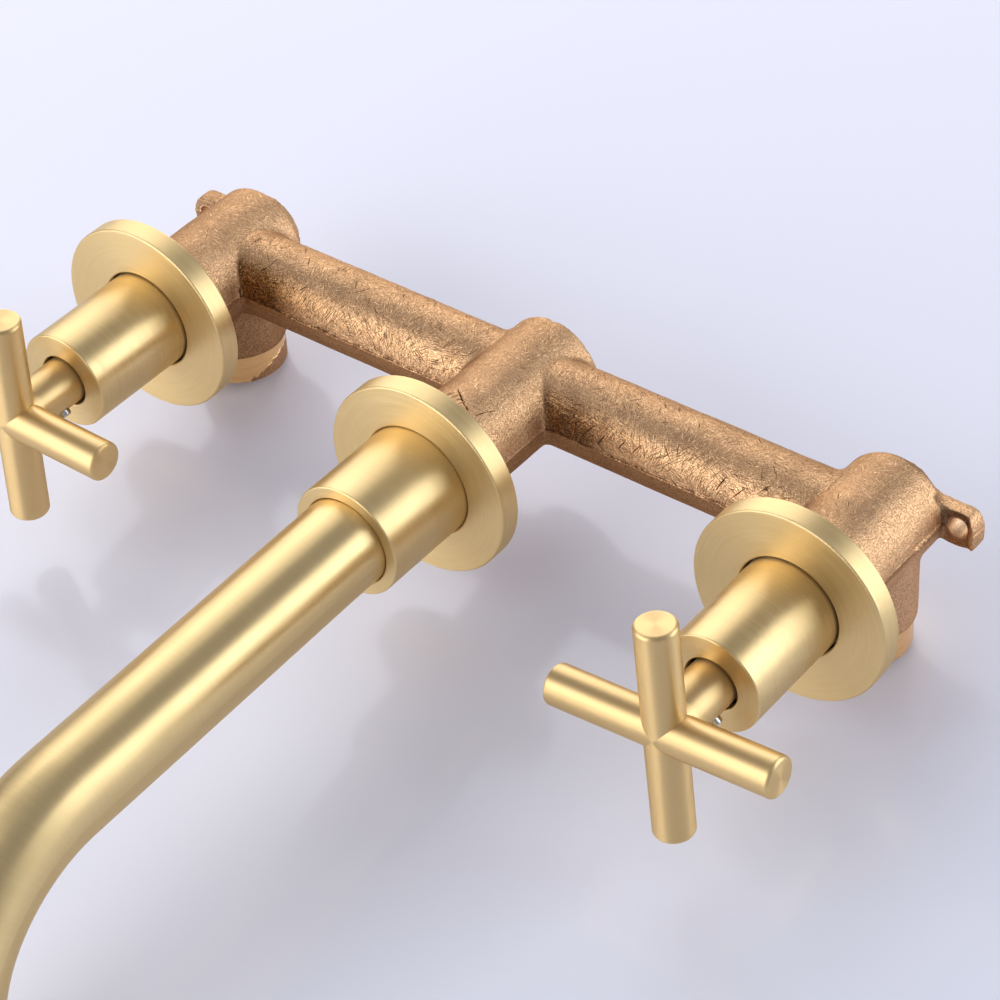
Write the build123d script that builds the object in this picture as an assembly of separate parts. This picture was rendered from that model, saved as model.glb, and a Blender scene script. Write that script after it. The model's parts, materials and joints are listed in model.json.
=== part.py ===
from build123d import *
from math import cos, radians, sqrt, tan
import os

# A three hole wall mixer for a bath or basin, with two cross handles and a bent spout.
# The frame has x to the right along the pipe, y into the wall and z up. The wall plane is y = 0.
# Its origin is midway between the two wall screws, on the back of the wall ears.
# "Ahead" is a distance from the pipe's axis towards the user, along an outlet's own axis.

# Layout
handle_spacing = 203.2          # between the two handle axes, 8 inches
pipe_setback = 18.3             # wall plane to the pipe's axis

# Cast body, outside
pipe_radius = 11.3
boss_radius = 14.0
side_boss_ahead = 29.0
side_boss_behind = 16.0
centre_boss_ahead = 40.5
centre_boss_behind = 12.3
boss_back_round = 3.0
boss_nose_radius = 13.2
boss_nose_length = 2.0
pipe_fillet = 1.6
tower_fillet = 2.5
tower_radius = 13.7
tower_drop = 33.5               # pipe's axis to the inlet's lower face
inlet_band_radius = 12.9
inlet_band_height = 9.0
ear_reach = 18.1                # outlet's axis to the wall screw hole
ear_top = 4.8                   # hole's middle to the ear's upper edge
ear_bottom = 5.2
ear_end = 4.8                   # hole's middle to the ear's outer end
ear_upper_corner = 4.5
ear_lower_corner = 1.6
ear_thickness = 4.75
ear_rim_height = 1.2
ear_rim_width = 1.0
ear_hole_radius = 3.0
ear_root_radius = 10.5          # disc of the ear inside the boss's back
ear_root_fillet = 3.0

# Cast body, waterways
inlet_thread_radius = 9.32      # crests of a half inch pipe thread
inlet_thread_depth = 15.0
boss_thread_radius = 10.4
pipe_bore_radius = 7.5
pipe_bore_stop = 21.0           # outlet's axis to the end of the pipe's wide bore
seat_behind = 1.0
seat_hole_radius = 5.0
inlet_channel_radius = 4.5
inlet_channel_behind = 8.0
inlet_channel_top = 6.5
side_port_radius = 4.5
side_port_ahead = 5.5
centre_bore_depth = 22.5
centre_way_radius = 6.8

# Clearances
thread_gap = 0.05
running_gap = 0.05              # a shaft that turns in its hole
film_gap = 0.02                 # the film between two ceramic discs
seat_gap = 0.3                  # a piece that rests against another
clip_gap = 0.1                  # between a clip and the face it bears on
cut_reach = 30.0                # how far a cut runs past the faces it goes through
spline_gap = 0.05

# Headworks: the quarter turn valve that each handle works
chamber_radius = 8.45
chamber_wall = 0.75
chamber_front = 13.05
headwork_thread_start = 14.0
gasket_thickness = 1.5
headwork_gasket_radius = 12.1
collar_radius = 12.2
collar_length = 4.0
hex_across_flats = 19.0
hex_length = 5.5
barrel_radius = 7.0
barrel_length = 3.5
window_width = 8.0
window_start = 5.8
window_length = 4.4

# Discs and their seal
seat_seal_radius = 8.2
seat_seal_hole = 5.2
seat_seal_thickness = 1.6
seat_seal_proud = 0.64          # how far the seal stands out behind the headwork
disc_radius = 8.3
disc_thickness = 2.5
disc_port_outer = 6.2
disc_port_inner = 2.2
disc_port_angle = 76.0
drive_slot_depth = 0.9
fork_width = 5.0
fork_length = 13.0

# Spindle
spindle_radius = 4.6
shoulder_radius = 7.6
shoulder_thickness = 1.75
washer_thickness = 0.8
washer_radius = 8.2
spindle_ring_section = 0.5      # radius of the cord of its two sealing rings
spindle_ring_places = (22.0, 27.0)
groove_side_gap = 0.15
clip_thickness = 0.8
clip_radius = 6.6
clip_groove_depth = 0.6
clip_slot = 5.0
spline_start = 64.0
spline_teeth = 20
spline_tip_radius = 4.3
spline_depth = 0.45
spindle_end = 76.0

# Handle sleeves
sleeve_radius = 13.6
sleeve_end = 65.3
sleeve_end_wall = 2.5
sleeve_end_bore = 7.25
trim_edge_round = 0.4

# Cross handles
stem_radius = 6.45
stem_start = 52.0
socket_gap = 0.15               # around the plain part of the spindle
socket_end_gap = 1.0
arm_radius = 5.27
arm_reach = 31.25
arm_ahead = 83.4
arm_end_round = 1.0
hot_lean = 1.4                  # how far the upright arm leans to the right, in degrees
cold_lean = -3.8
grub_ahead = 71.3
grub_angle = 135.0              # from the upper arm, clockwise from the front
grub_radius = 1.95
grub_proud = 1.3
grub_chamfer = 0.35
grub_key = 2.0                  # across the flats of its key hole
grub_key_depth = 1.8

# Wall flanges
flange_radius = 27.0
flange_thickness = 6.1
flange_edge_round = 0.5
side_flange_hole_gap = 0.5
spout_flange_hole_gap = 0.15
spout_flange_ahead = 39.6       # back face of the spout's flange
flange_ring_section = 1.0
flange_ring_from_face = 2.4     # front face to the middle of the ring's groove

# Spout
spout_radius = 12.1
spout_wall = 1.5
spout_fall = 1.5                # slope of the long run, in degrees
spout_fall_start = 78.0
spout_fall_radius = 300.0
spout_bend_start = 175.5
spout_bend_radius = 44.5
spout_end_run = 14.0
spout_sleeve_wall = 0.9
spout_sleeve_end = 73.5
spout_lip_length = 2.8
spout_lip_gap = 0.15

# Spout connector
connector_collar_radius = 14.6
connector_collar_length = 5.0
connector_bore_radius = 7.8
connector_gasket_radius = 13.5
connector_end = 66.0
connector_ring_section = 0.65
connector_ring_places = (53.0, 59.0)
retainer_length = 3.4
retainer_bite = 0.6
retainer_side_gap = 0.35
retainer_slot = 3.0

# Outlet
aerator_recess = 0.6
aerator_height = 8.0
aerator_wall = 1.9
aerator_slot_width = 2.4
aerator_slot_depth = 1.2
aerator_seal_thickness = 1.6
outlet_step_height = 2.0
outlet_step_width = 1.8
screen_height = 5.0
screen_recess = 0.8
screen_hole_radius = 0.6
screen_hole_pitch = 2.2
screen_hole_rows = 2

# Places that follow from the sizes above
side_x = handle_spacing / 2
cavity_radius = boss_thread_radius + thread_gap
seat_ahead = -seat_behind
headwork_back = seat_ahead + seat_seal_proud
seal_front = seat_ahead + seat_seal_thickness
fixed_disc_front = seal_front + disc_thickness
moving_disc_back = fixed_disc_front + film_gap
moving_disc_front = moving_disc_back + disc_thickness
washer_back = chamber_front - washer_thickness
shoulder_front = washer_back - running_gap
shoulder_back = shoulder_front - shoulder_thickness
spindle_bore = spindle_radius + running_gap
gasket_front = side_boss_ahead + gasket_thickness
collar_front = gasket_front + collar_length
hex_front = collar_front + hex_length
barrel_front = hex_front + barrel_length
clip_back = barrel_front + clip_gap
clip_front = clip_back + clip_thickness
clip_groove_radius = spindle_radius - clip_groove_depth
spline_root_radius = spline_tip_radius - spline_depth
sleeve_bore = collar_radius + thread_gap
sleeve_back = side_boss_ahead + seat_gap
side_flange_back = side_boss_ahead - boss_nose_length + seat_gap
spout_bore = spout_radius - spout_wall
connector_gasket_front = centre_boss_ahead + gasket_thickness
connector_collar_front = connector_gasket_front + connector_collar_length
spigot_radius = spout_bore - running_gap
spout_back = connector_collar_front + seat_gap
spout_sleeve_bore = connector_collar_radius + thread_gap
spout_sleeve_radius = spout_sleeve_bore + spout_sleeve_wall
spout_sleeve_back = centre_boss_ahead + seat_gap
spout_lip_back = spout_sleeve_end - spout_lip_length
retainer_front = spout_lip_back - seat_gap
retainer_back = retainer_front - retainer_length
retainer_seat = spout_radius - retainer_bite
retainer_radius = spout_sleeve_bore - retainer_side_gap


def turned(*profile):
    """A solid turned about an outlet's axis, from points of radius and distance ahead."""
    outline = Polyline(*[(radius, -ahead) for radius, ahead in profile], close=True)
    return revolve(make_face(outline), Axis.Y)


def rod(radius, start, end):
    return turned((0, start), (radius, start), (radius, end), (0, end))


def tube(outer, inner, start, end):
    return turned((inner, start), (outer, start), (outer, end), (inner, end))


def cord_ring(middle_radius, section_radius, ahead):
    return Pos(0, -ahead, 0) * Rot(X=90) * Torus(middle_radius, section_radius)


def prism(sketch, start, end):
    """A flat outline, drawn as seen from the front, carried along an outlet's axis."""
    return extrude(Plane.XZ.offset(start) * sketch, end - start)


def upright(radius, low, high, y=0.0):
    return Pos(0, y, (low + high) / 2) * Cylinder(radius, high - low)


def crosswise(radius, left, right, ahead=0.0):
    return Pos((left + right) / 2, -ahead, 0) * Rot(Y=90) * Cylinder(radius, right - left)


def at_outlet(shape, x=0.0):
    return Pos(x, -pipe_setback, 0) * shape


def round_edges(edges):
    return edges.filter_by(GeomType.CIRCLE)


# Cast body

def side_boss():
    body = rod(boss_radius, -side_boss_behind, side_boss_ahead)
    back_edge = round_edges(body.edges()).sort_by(Axis.Y)[-1]
    nose = tube(cut_reach, boss_nose_radius, side_boss_ahead - boss_nose_length, side_boss_ahead)
    return fillet(back_edge, boss_back_round) - nose


def tower():
    rough = upright(tower_radius, inlet_band_height - tower_drop, 0)
    return rough + upright(inlet_band_radius, -tower_drop, 0)


def ear_tongue(low, high, end, upper_corner):
    """A flat strip from the outlet's axis to past the screw hole, with its upper outer corner round."""
    length = ear_reach + end
    strip = Pos(length / 2, (high + low) / 2) * Rectangle(length, high - low)
    return fillet(strip.vertices().group_by(Axis.X)[-1].sort_by(Axis.Y)[-1], upper_corner)


def ear_outline():
    """The ear as seen from the front, with a disc that lies inside the boss's back."""
    tongue = ear_tongue(-ear_bottom, ear_top, ear_end, ear_upper_corner)
    tongue = fillet(tongue.vertices().group_by(Axis.X)[-1].sort_by(Axis.Y)[0], ear_lower_corner)
    outline = tongue + Circle(ear_root_radius)
    roots = [point for point in outline.vertices() if abs(point.X) < ear_root_radius]
    return fillet(roots, ear_root_fillet)


def ear():
    """One wall ear, with its back on the wall plane and its hole towards the right."""
    wall = -pipe_setback
    face = wall + ear_thickness
    blank = prism(ear_outline(), wall, face + ear_rim_height)
    rim = ear_rim_width
    sunken = ear_tongue(-ear_bottom - rim, ear_top - rim, ear_end - rim, ear_upper_corner - rim)
    pocket = prism(sunken, face, face + ear_rim_height)
    hole = Pos(ear_reach, 0, 0) * rod(ear_hole_radius, wall, face)
    return blank - pocket - hole


def side_waterways():
    """The hollows of a side boss, with the pipe towards the left."""
    inlet_roof = inlet_thread_depth - tower_drop
    cavity = rod(cavity_radius, seat_ahead, side_boss_ahead)
    seat_hole = rod(seat_hole_radius, -inlet_channel_behind, seat_ahead)
    thread = upright(inlet_thread_radius, -tower_drop, inlet_roof)
    channel = upright(inlet_channel_radius, inlet_roof, inlet_channel_top, y=inlet_channel_behind)
    port = crosswise(side_port_radius, -cut_reach, 0, side_port_ahead)
    return cavity + seat_hole + thread + channel + port


def cast_join(first, second, radius):
    """Two shapes of the casting as one, with a fillet along the seam."""
    joined = first + second
    return fillet(new_edges(first, second, combined=joined), radius)


def body_middle():
    """The pipe and the spout's boss. The boss is joined over-long and then cut off flat behind."""
    pipe = crosswise(pipe_radius, -side_x, side_x)
    boss = rod(boss_radius, -cut_reach, centre_boss_ahead)
    behind = rod(cut_reach, -cut_reach, -centre_boss_behind)
    return cast_join(pipe, boss, pipe_fillet) - behind


def body_end():
    """The right end of the casting about its own outlet's axis: boss, inlet tower and ear."""
    return cast_join(side_boss(), tower(), tower_fillet) + ear()


def valve_body():
    right = Pos(side_x, 0, 0) * body_end()
    body = cast_join(body_middle(), right, pipe_fillet)
    body = cast_join(body, mirror(right, Plane.YZ), pipe_fillet)
    right_hollows = Pos(side_x, 0, 0) * side_waterways()
    half_bore = side_x - pipe_bore_stop
    centre_bore_back = centre_boss_ahead - centre_bore_depth
    hollows = (
        crosswise(pipe_bore_radius, -half_bore, half_bore),
        rod(cavity_radius, centre_bore_back, centre_boss_ahead),
        rod(centre_way_radius, 0, centre_bore_back),
        right_hollows,
        mirror(right_hollows, Plane.YZ),
    )
    for hollow in hollows:
        body -= hollow
    return body


# Valve set behind each handle

def headwork():
    """The brass insert with the disc chamber, the spindle's bore and the thread for the sleeve."""
    outer = chamber_radius + chamber_wall
    body = turned(
        (chamber_radius, headwork_back),
        (outer, headwork_back),
        (outer, headwork_thread_start),
        (boss_thread_radius, headwork_thread_start),
        (boss_thread_radius, gasket_front),
        (collar_radius, gasket_front),
        (collar_radius, collar_front),
        (barrel_radius, collar_front),
        (barrel_radius, barrel_front),
        (spindle_bore, barrel_front),
        (spindle_bore, chamber_front),
        (chamber_radius, chamber_front),
    )
    nut = RegularPolygon(hex_across_flats / 2, 6, major_radius=False) - Circle(spindle_bore)
    window = Rectangle(2 * cut_reach, window_width)
    body += prism(nut, collar_front, hex_front)
    return body - prism(window, window_start, window_start + window_length)


def disc_ports():
    """The two openings of a ceramic disc, one above and one below its middle."""
    ring = Circle(disc_port_outer) - Circle(disc_port_inner)
    reach = 2 * disc_port_outer
    half_side = reach * tan(radians(disc_port_angle / 2))
    wedge = make_face(Polyline((0, 0), (half_side, reach), (-half_side, reach), close=True))
    return ring & (wedge + Rot(Z=180) * wedge)


def fixed_disc():
    return prism(Circle(disc_radius) - disc_ports(), seal_front, fixed_disc_front)


def moving_disc():
    """The upper disc at rest: its openings lie across those of the fixed disc, so the way is shut."""
    disc = prism(Circle(disc_radius) - Rot(Z=90) * disc_ports(), moving_disc_back, moving_disc_front)
    slot = Rectangle(fork_width + 2 * running_gap, fork_length + 2 * running_gap)
    return disc - prism(slot, moving_disc_front - drive_slot_depth, moving_disc_front)


def spline_outline(tip_radius, root_radius):
    """A serrated shaft's outline, as points that go in and out in turn."""
    steps = 2 * spline_teeth
    radii = [tip_radius if step % 2 == 0 else root_radius for step in range(steps)]
    points = [Vector(radius, 0).rotate(Axis.Z, 360 * step / steps) for step, radius in enumerate(radii)]
    return make_face(Polyline(*points, close=True))


def spindle():
    body = turned(
        (0, shoulder_back),
        (shoulder_radius, shoulder_back),
        (shoulder_radius, shoulder_front),
        (spindle_radius, shoulder_front),
        (spindle_radius, spline_start),
        (0, spline_start),
    )
    fork_tip = moving_disc_front - drive_slot_depth + running_gap
    body += prism(Rectangle(fork_width, fork_length), fork_tip, shoulder_back)
    body += prism(spline_outline(spline_tip_radius, spline_root_radius), spline_start, spindle_end)
    groove_half = spindle_ring_section + groove_side_gap
    for place in spindle_ring_places:
        floor = spindle_radius - 2 * spindle_ring_section
        body -= tube(spindle_bore, floor, place - groove_half, place + groove_half)
    return body - tube(spindle_bore, clip_groove_radius, clip_back, clip_front)


def spindle_rings():
    middle = spindle_radius - spindle_ring_section
    return [cord_ring(middle, spindle_ring_section, place) for place in spindle_ring_places]


def split_ring(outer, inner, start, end, slot_width):
    """A flat ring with a slot through its lower side."""
    slot = Pos(0, -outer / 2) * Rectangle(slot_width, outer)
    return prism(Circle(outer) - Circle(inner) - slot, start, end)


def side_sleeve():
    sleeve = turned(
        (sleeve_bore, sleeve_back),
        (sleeve_radius, sleeve_back),
        (sleeve_radius, sleeve_end),
        (sleeve_end_bore, sleeve_end),
        (sleeve_end_bore, sleeve_end - sleeve_end_wall),
        (sleeve_bore, sleeve_end - sleeve_end_wall),
    )
    end_edges = round_edges(sleeve.edges()).group_by(Axis.Y)[0]
    return fillet(end_edges, trim_edge_round)


# Cross handle

def cross_bar():
    bar = Rot(Y=90) * Cylinder(arm_radius, 2 * arm_reach)
    return Pos(0, -arm_ahead, 0) * fillet(round_edges(bar.edges()), arm_end_round)


def grub_frame():
    """The grub screw's own frame: its z axis points out of the stem."""
    return Pos(0, -grub_ahead, 0) * Rot(Y=grub_angle)


def handle():
    body = rod(stem_radius, stem_start, arm_ahead)
    body += cross_bar()
    body += Rot(Y=90) * cross_bar()
    socket = rod(spindle_radius + socket_gap, stem_start, spline_start)
    splines = spline_outline(spline_tip_radius + spline_gap, spline_root_radius + spline_gap)
    socket += prism(splines, spline_start, spindle_end + socket_end_gap)
    screw_hole = grub_frame() * upright(grub_radius + thread_gap, 0, cut_reach)
    return body - socket - screw_hole


def grub_screw():
    inner_end = spline_tip_radius + running_gap
    outer_end = stem_radius + grub_proud
    screw = upright(grub_radius, inner_end, outer_end)
    screw = chamfer(round_edges(screw.edges()), grub_chamfer)
    key = RegularPolygon(grub_key / 2, 6, major_radius=False)
    screw -= Pos(0, 0, outer_end - grub_key_depth) * extrude(key, grub_key_depth)
    return grub_frame() * screw


# Wall flanges

def flange(sleeve, hole_gap, back):
    """A flange round a sleeve, with a groove in its hole for the ring that grips the sleeve."""
    front = back + flange_thickness
    ring = tube(flange_radius, sleeve + hole_gap, back, front)
    ring = fillet(round_edges(ring.edges()), flange_edge_round)
    middle = front - flange_ring_from_face
    half_groove = flange_ring_section + groove_side_gap
    floor = sleeve + running_gap + 2 * flange_ring_section
    return ring - tube(floor, sleeve, middle - half_groove, middle + half_groove)


def flange_ring(sleeve, back):
    middle = back + flange_thickness - flange_ring_from_face
    return cord_ring(sleeve + running_gap + flange_ring_section, flange_ring_section, middle)


# Spout

def spout_path():
    """The middle line of the spout: out of its sleeve, a slight fall, a bend and a short end."""
    lead = Line((-spout_back, 0), (-spout_fall_start, 0))
    fall = JernArc(lead @ 1, lead % 1, spout_fall_radius, spout_fall)
    run_length = (spout_bend_start - spout_fall_start) / cos(radians(spout_fall))
    run_length -= spout_fall_radius * radians(spout_fall)
    run = Line(fall @ 1, fall @ 1 + run_length * (fall % 1))
    bend = JernArc(run @ 1, run % 1, spout_bend_radius, 90 - spout_fall)
    end = Line(bend @ 1, bend @ 1 + spout_end_run * (bend % 1))
    return Plane.YZ * Wire([lead, fall, run, bend, end])


def outlet_place():
    return Pos(*tuple(spout_path() @ 1))


def spout_tube():
    path = spout_path()
    mouth = Plane(path @ 0, x_dir=(1, 0, 0), z_dir=path % 0)
    outer = sweep(mouth * Circle(spout_radius), path=path)
    inner = sweep(mouth * Circle(spout_bore), path=path)
    body = outer - inner
    body -= tube(spout_radius, retainer_seat, retainer_back, retainer_front)
    step_low = aerator_recess + aerator_height + aerator_seal_thickness
    step = upright(spout_bore + thread_gap, step_low, step_low + outlet_step_height)
    step -= upright(spout_bore - outlet_step_width, step_low, step_low + outlet_step_height)
    return body + outlet_place() * step


def spout_retainer():
    """The split ring in the tube's groove, which the sleeve's lip holds back."""
    return split_ring(retainer_radius, retainer_seat, retainer_back, retainer_front, retainer_slot)


def spout_connector():
    thread_back = centre_boss_ahead - centre_bore_depth + seat_gap
    body = turned(
        (connector_bore_radius, thread_back),
        (boss_thread_radius, thread_back),
        (boss_thread_radius, connector_gasket_front),
        (connector_collar_radius, connector_gasket_front),
        (connector_collar_radius, connector_collar_front),
        (spigot_radius, connector_collar_front),
        (spigot_radius, connector_end),
        (connector_bore_radius, connector_end),
    )
    half_groove = connector_ring_section + groove_side_gap
    for place in connector_ring_places:
        floor = spigot_radius - 2 * connector_ring_section
        body -= tube(spout_bore, floor, place - half_groove, place + half_groove)
    return body


def connector_rings():
    middle = spigot_radius - connector_ring_section
    return [cord_ring(middle, connector_ring_section, place) for place in connector_ring_places]


def spout_sleeve():
    lip_bore = spout_radius + spout_lip_gap
    sleeve = turned(
        (spout_sleeve_bore, spout_sleeve_back),
        (spout_sleeve_radius, spout_sleeve_back),
        (spout_sleeve_radius, spout_sleeve_end),
        (lip_bore, spout_sleeve_end),
        (lip_bore, spout_lip_back),
        (spout_sleeve_bore, spout_lip_back),
    )
    return fillet(round_edges(sleeve.edges()).group_by(Axis.Y)[0], trim_edge_round)


# Outlet: z is up and zero at the spout's lower face

def aerator_housing():
    outer = spout_bore - thread_gap
    low = aerator_recess
    high = low + aerator_height
    body = upright(outer, low, high) - upright(outer - aerator_wall, low, high)
    slot = Pos(0, 0, low + aerator_slot_depth / 2) * Box(cut_reach, aerator_slot_width, aerator_slot_depth)
    return body - slot


def aerator_screen():
    """The perforated insert that mixes air into the water."""
    radius = spout_bore - thread_gap - aerator_wall - thread_gap
    low = aerator_recess + screen_recess
    body = upright(radius, low, low + screen_height)
    row_step = screen_hole_pitch * sqrt(3) / 2
    for row in range(-screen_hole_rows, screen_hole_rows + 1):
        holes = 2 * screen_hole_rows + 1 - abs(row)
        for hole in range(holes):
            across = (hole - (holes - 1) / 2) * screen_hole_pitch
            body -= Pos(across, row * row_step, 0) * upright(screen_hole_radius, low, low + screen_height)
    return body


def aerator_seal():
    outer = spout_bore - thread_gap
    low = aerator_recess + aerator_height
    high = low + aerator_seal_thickness
    return upright(outer, low, high) - upright(outer - aerator_wall, low, high)


# Nodes

def valve_side(side, x, lean):
    """All the pieces of one handle's outlet. What the handle turns is leant with it."""
    still = {
        "headwork": headwork(),
        "headwork_gasket": tube(headwork_gasket_radius, cavity_radius, side_boss_ahead, gasket_front),
        "seat_seal": tube(seat_seal_radius, seat_seal_hole, seat_ahead, seal_front),
        "fixed_disc": fixed_disc(),
        "thrust_washer": tube(washer_radius, spindle_bore, washer_back, chamber_front),
        "sleeve": side_sleeve(),
        "flange": flange(sleeve_radius, side_flange_hole_gap, side_flange_back),
        "flange_ring": flange_ring(sleeve_radius, side_flange_back),
    }
    turning = {
        "moving_disc": moving_disc(),
        "spindle": spindle(),
        "spindle_rings": Compound(spindle_rings()),
        "spindle_clip": split_ring(clip_radius, clip_groove_radius, clip_back, clip_front, clip_slot),
        "handle": handle(),
        "grub_screw": grub_screw(),
    }
    pieces = {f"{side}_{name}": at_outlet(shape, x) for name, shape in still.items()}
    pieces |= {f"{side}_{name}": at_outlet(Rot(Y=lean) * shape, x) for name, shape in turning.items()}
    return pieces


def connector_gasket():
    return tube(connector_gasket_radius, cavity_radius, centre_boss_ahead, connector_gasket_front)


def spout_side():
    pieces = {
        "spout_connector": spout_connector(),
        "connector_gasket": connector_gasket(),
        "connector_rings": Compound(connector_rings()),
        "spout_sleeve": spout_sleeve(),
        "spout_flange": flange(spout_sleeve_radius, spout_flange_hole_gap, spout_flange_ahead),
        "spout_flange_ring": flange_ring(spout_sleeve_radius, spout_flange_ahead),
        "spout_tube": spout_tube(),
        "spout_retainer": spout_retainer(),
        "aerator_housing": outlet_place() * aerator_housing(),
        "aerator_screen": outlet_place() * aerator_screen(),
        "aerator_seal": outlet_place() * aerator_seal(),
    }
    return {name: at_outlet(shape) for name, shape in pieces.items()}


def assembly():
    pieces = {"valve_body": at_outlet(valve_body())}
    pieces |= valve_side("hot", -side_x, hot_lean)
    pieces |= valve_side("cold", side_x, cold_lean)
    pieces |= spout_side()
    return pieces


os.makedirs("parts", exist_ok=True)
for name, shape in assembly().items():
    export_step(shape, f"parts/{name}.step")
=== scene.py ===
import json
import math
import random
import bmesh
import bpy
import numpy as np
from mathutils import Matrix, Vector, noise
from mathutils.bvhtree import BVHTree


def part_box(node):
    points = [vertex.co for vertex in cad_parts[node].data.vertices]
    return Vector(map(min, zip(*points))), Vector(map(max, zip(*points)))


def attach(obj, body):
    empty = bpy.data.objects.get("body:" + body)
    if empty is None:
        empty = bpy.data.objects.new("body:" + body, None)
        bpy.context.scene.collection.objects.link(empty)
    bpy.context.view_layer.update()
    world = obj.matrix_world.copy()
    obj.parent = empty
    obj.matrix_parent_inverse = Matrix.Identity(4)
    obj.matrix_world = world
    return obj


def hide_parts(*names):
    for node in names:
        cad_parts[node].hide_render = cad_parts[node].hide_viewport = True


# A wall mounted mixer with two cross handles and a bent spout: rough cast body, brushed gold trim.
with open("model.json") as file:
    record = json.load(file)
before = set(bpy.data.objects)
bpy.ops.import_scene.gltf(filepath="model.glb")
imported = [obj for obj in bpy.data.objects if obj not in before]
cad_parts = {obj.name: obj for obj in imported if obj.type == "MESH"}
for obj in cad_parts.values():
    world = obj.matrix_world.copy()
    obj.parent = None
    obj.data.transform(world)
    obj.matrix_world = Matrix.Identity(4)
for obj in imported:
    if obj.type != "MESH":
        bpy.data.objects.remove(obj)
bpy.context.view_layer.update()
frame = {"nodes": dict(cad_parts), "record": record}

MM = 0.001

# Sizes of the tap, in millimetres. "Ahead" is a distance from the pipe's axis towards the user.
PIPE_SETBACK = 18.3
SIDE_X = 101.6
PIPE_RADIUS = 11.3
BOSS_RADIUS = 14.0
TOWER_RADIUS = 13.7
SIDE_BOSS_FRONT = 29.0
CENTRE_BOSS_FRONT = 40.5
CENTRE_BOSS_BACK = -12.3
CAVITY_RADIUS = 10.45
CENTRE_CAVITY_BACK = 18.0
CENTRE_WAY_RADIUS = 6.8
SEAT_AHEAD = -1.0
SEAT_HOLE_RADIUS = 5.0
PIPE_BORE_RADIUS = 7.5
PIPE_BORE_END = 80.6
PORT_RADIUS = 4.5
PORT_AHEAD = 5.5
EAR_HOLE_X = 119.7
EAR_HOLE_RADIUS = 3.0
EAR_END_GROWTH = 0.2            # what the ears' ends gain before they are smoothed
EAR_TOP_GROWTH = 0.7
EAR_LOW_GROWTH = 1.2
EAR_CORNER_LOSS = 0.95
EAR_LOW_STEP = 0.65             # share of the rim's height that the lower half lacks
EAR_BACK = -18.3
EAR_FACE = -13.55
EAR_RIM_HEIGHT = 1.2
ARM_AHEAD = 83.4
ARM_RADIUS = 5.27
HOT_LEAN = 1.4
COLD_LEAN = -3.8
BEND_AHEAD = 174.3              # middle of the spout's bend
BEND_Z = -46.9
BEND_RADIUS = 44.5

# Inlet bands, machined on the lower ends of the towers
INLET_LOW = -33.5
BAND_TOP = -24.5
BAND_RADIUS = 12.9
BAND_CHAMFER = 0.5
LINER_TOP = -18.5
LINER_RADIUS = 11.0
THREAD_RADIUS = 9.32
THREAD_DEPTH = 1.1
THREAD_PITCH = 1.814
CHANNEL_RADIUS = 4.5
CHANNEL_TOP = 6.5
CHANNEL_AHEAD = -8.0

# Floor: half its size in metres, and how far it lies under the piece in millimetres
FLOOR_HALF = 3.0
FLOOR_GAP = 0.3
SPOUT_RADIUS = 12.1

# Camera, as worked out from the photograph
CAMERA_AZIMUTH = 39.57
CAMERA_ELEVATION = 39.92
CAMERA_ROLL = -3.56
CAMERA_DISTANCE = 841.7 * MM
CAMERA_SIDE = -7.06 * MM
CAMERA_RISE = -29.16 * MM
CAMERA_LENS = 118.26

# Skin of the casting
SKIN_CELL = 0.71                # size of its mesh, in millimetres
WAVE = 0.14                     # height of the broad unevenness left by hand grinding
GRAIN = 0.05
CUT_LIFT = 0.5                  # how far a cutter stands out over the skin
SCRAP_SIZE = 0.004              # points of a cut that lie closer than this become one


# Camera and light

def direction(azimuth, elevation):
    a = math.radians(azimuth)
    e = math.radians(elevation)
    return Vector((math.sin(a) * math.cos(e), -math.cos(a) * math.cos(e), math.sin(e)))


def make_camera():
    back = direction(CAMERA_AZIMUTH, CAMERA_ELEVATION)
    level = Vector((0, 0, 1)).cross(back).normalized()
    rise = back.cross(level)
    roll = math.radians(CAMERA_ROLL)
    right = level * math.cos(roll) + rise * math.sin(roll)
    up = rise * math.cos(roll) - level * math.sin(roll)
    place = right * CAMERA_SIDE + up * CAMERA_RISE + back * CAMERA_DISTANCE
    place += Vector((0, -PIPE_SETBACK * MM, 0))
    data = bpy.data.cameras.new("camera")
    data.lens = CAMERA_LENS
    data.sensor_width = 36
    data.clip_start = 0.01
    camera = bpy.data.objects.new("camera", data)
    turn = Matrix((right, up, back)).transposed().to_4x4()
    camera.matrix_world = Matrix.Translation(place) @ turn
    bpy.context.scene.collection.objects.link(camera)
    bpy.context.scene.camera = camera


def softbox(name, azimuth, elevation, distance, width, height, watts, colour=(1, 1, 1)):
    data = bpy.data.lights.new(name, "AREA")
    data.shape = "RECTANGLE"
    data.size = width
    data.size_y = height
    data.energy = watts
    data.color = colour
    lamp = bpy.data.objects.new(name, data)
    back = direction(azimuth, elevation)
    lamp.location = back * distance
    lamp.rotation_euler = back.to_track_quat("Z", "Y").to_euler()
    bpy.context.scene.collection.objects.link(lamp)


# Node trees

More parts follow.
